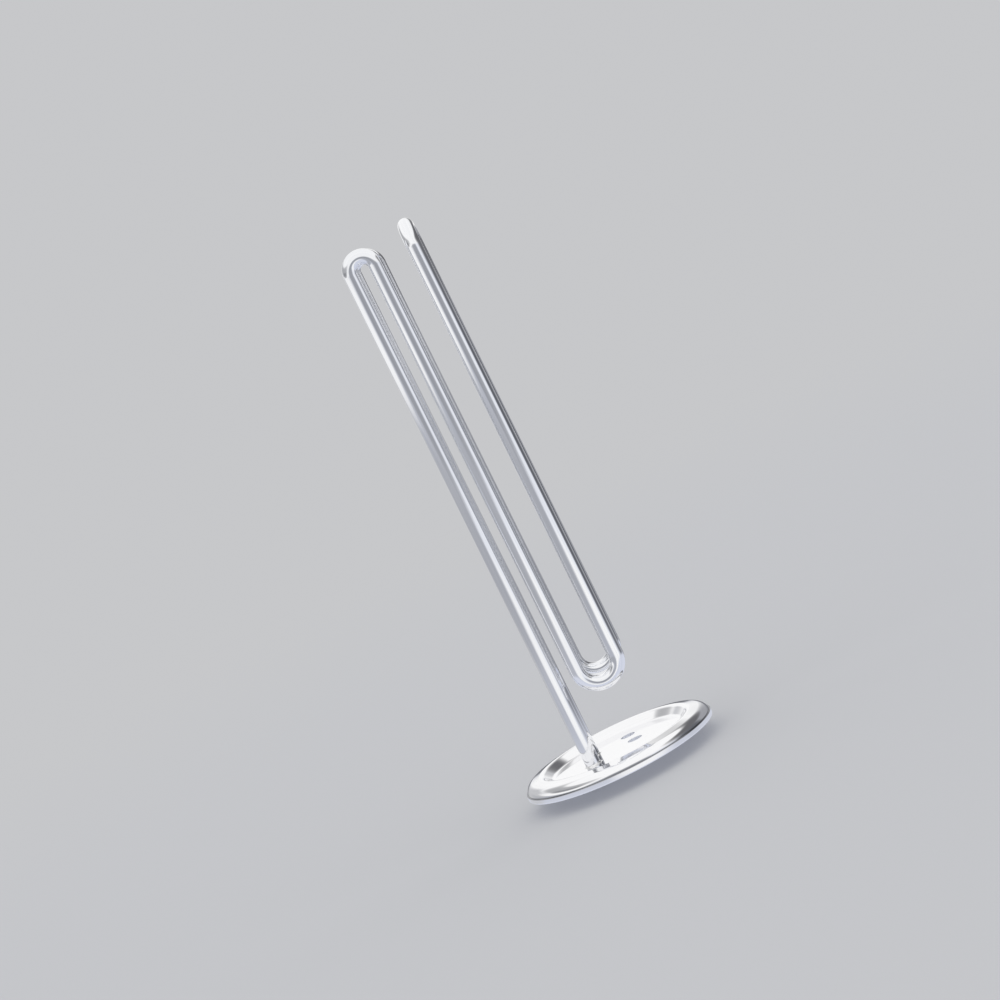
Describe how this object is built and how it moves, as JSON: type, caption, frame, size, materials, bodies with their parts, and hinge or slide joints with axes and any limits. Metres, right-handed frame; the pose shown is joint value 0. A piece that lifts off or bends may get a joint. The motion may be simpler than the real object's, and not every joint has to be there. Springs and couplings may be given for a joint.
{
  "type": "immersion heating element",
  "caption": "Tubular immersion heating element: a metal-sheathed tube bent into parallel legs, brazed into a round stamped flange with an annular bead, with screw terminals beneath.",
  "frame": {"origin": "centre of the flange, in the plane of its underside", "axes": "+Z along the legs, away from the terminals; +X towards the outer pair of legs; -Y towards the front row"},
  "size_m": [0.1096, 0.1096, 0.3186],
  "materials": {
    "flange_steel": "bright polished stainless sheet",
    "sheath_steel": "bright polished stainless tube",
    "braze": "smooth silver braze",
    "powder": "compacted mineral powder",
    "wire": "dull resistance wire",
    "pin_steel": "drawn steel",
    "seal": "cast resin",
    "ceramic": "unglazed ceramic",
    "plated_steel": "zinc plated"
  },
  "bodies": {
    "root": {"flange": "flange_steel", "heating_tube": "sheath_steel", "braze_ring_front": "braze", "braze_ring_back": "braze", "insulation_fill": "powder", "resistance_coil": "wire", "cold_pin_front": "pin_steel", "cold_pin_back": "pin_steel", "end_seal_front": "seal", "end_seal_back": "seal", "insulator_front": "ceramic", "insulator_back": "ceramic", "washer_front": "plated_steel", "washer_back": "plated_steel", "nut_front": "plated_steel", "nut_back": "plated_steel"}
  },
  "joints": []
}
